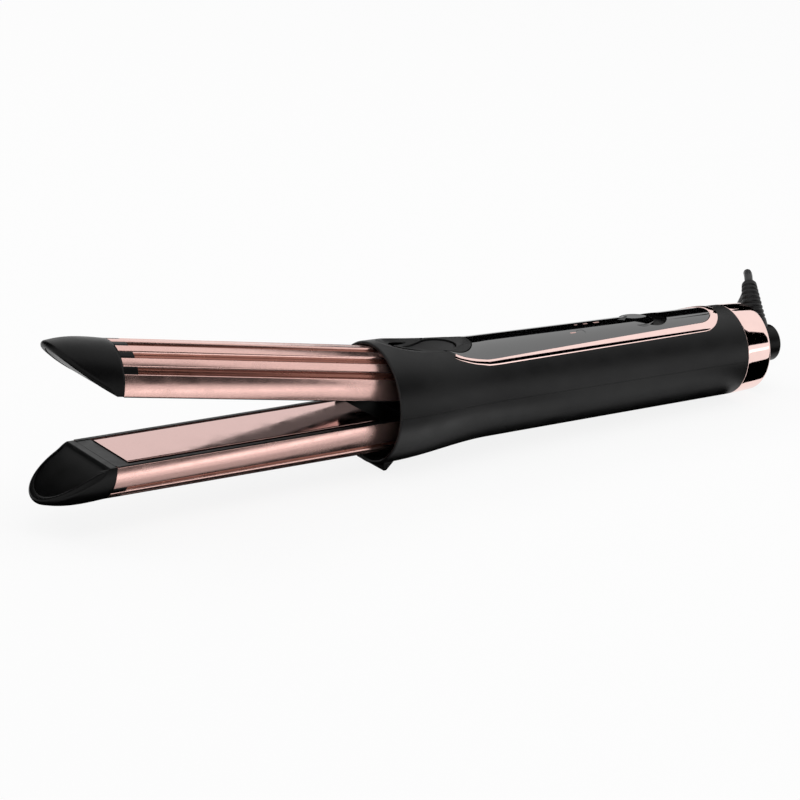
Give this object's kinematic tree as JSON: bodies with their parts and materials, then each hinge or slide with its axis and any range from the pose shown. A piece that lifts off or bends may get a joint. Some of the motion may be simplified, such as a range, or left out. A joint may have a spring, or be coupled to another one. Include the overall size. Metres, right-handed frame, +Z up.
{
  "type": "hair styler",
  "caption": "Hair styler with two half-round ribbed heated arms that close into a barrel, worked by a thumb key on a round handle, with a swivel cord at the rear.",
  "frame": {"origin": "middle of the bounding box of the styler without its cord, on the surface that it stands on", "axes": "+X along the handle towards the cord, +Z up, +Y to the left of the user's thumb when the arms point away"},
  "size_m": [0.3804, 0.1043, 0.0747],
  "materials": {
    "black_plastic": "soft-touch matt black",
    "tip_plastic": "satin black, heat resistant",
    "gloss_panel": "glossy black",
    "rose_barrel": "satin rose gold coating",
    "rose_chrome": "polished rose gold",
    "rose_plate": "satin rose ceramic coating",
    "steel": "bright steel",
    "brass": "plain brass",
    "ceramic": "unglazed white ceramic",
    "board": "green board",
    "board_parts": "moulded black",
    "capacitor_case": "moulded yellow",
    "lead_sleeve": "red silicone sleeve",
    "cord_jacket": "satin black PVC",
    "plug_plastic": "moulded black",
    "plug_pin": "nickel-plated brass"
  },
  "bodies": {
    "housing": {"upper_housing": "black_plastic", "lower_housing": "black_plastic", "control_panel": "gloss_panel", "panel_trim": "rose_chrome", "indicator_lens": "gloss_panel", "end_ring": "rose_chrome", "rear_cap": "tip_plastic", "contact_brushes": "brass", "hinge_pin": "steel", "arm_spring": "steel", "housing_screws": "steel", "circuit_board": "board", "slide_switch": "board_parts", "power_triac": "board_parts", "mains_capacitor": "capacitor_case", "terminal_block": "board_parts", "board_leads": "lead_sleeve", "lower_frame": "tip_plastic", "lower_barrel": "rose_barrel", "lower_tip": "tip_plastic", "lower_tip_inlay": "tip_plastic", "lower_plate": "rose_plate", "lower_heater": "ceramic", "lower_heater_clip": "steel", "lower_fuse": "ceramic", "lower_leads": "lead_sleeve"},
    "upper_arm": {"upper_frame": "tip_plastic", "upper_barrel": "rose_barrel", "upper_tip": "tip_plastic", "upper_tip_inlay": "tip_plastic", "upper_plate": "rose_plate", "upper_heater": "ceramic", "upper_heater_clip": "steel", "upper_fuse": "ceramic", "upper_leads": "lead_sleeve", "hinge_bushes": "brass"},
    "thumb_key": {"thumb_key": "black_plastic"},
    "slider": {"slider_knob": "tip_plastic"},
    "swivel": {"swivel_hub": "tip_plastic", "swivel_clip": "steel", "contact_rings": "brass", "strain_relief": "tip_plastic", "cord_run": "cord_jacket", "cord_hank": "cord_jacket", "cord_tail": "cord_jacket", "cord_tie": "gloss_panel", "plug_body": "plug_plastic", "plug_pins": "plug_pin"}
  },
  "joints": [
    {"name": "arm_hinge", "type": "hinge", "parent": "housing", "child": "upper_arm", "pos_m": [0.01796, 0, 0.02257], "axis": [0, 1, 0], "range_deg": [-9, 0], "stiffness_Nm_per_rad": 0.6, "springref_deg": 17.19, "deforming": ["arm_spring"]},
    {"name": "key_slide", "type": "slide", "parent": "housing", "child": "thumb_key", "axis": [0.0383, 0, 0.9993], "range_m": [-0.0029, 0]},
    {"name": "temperature_slide", "type": "slide", "parent": "housing", "child": "slider", "axis": [0.9993, 0, -0.0383], "range_m": [0, 0.005]},
    {"name": "cord_swivel", "type": "hinge", "parent": "housing", "child": "swivel", "pos_m": [0.17102, 0, 0.0185], "axis": [0.9993, 0, -0.0383], "continuous": true}
  ],
  "couplings": [
    {"joint": "key_slide", "follows": "arm_hinge", "m_per_rad": 0.01848}
  ]
}
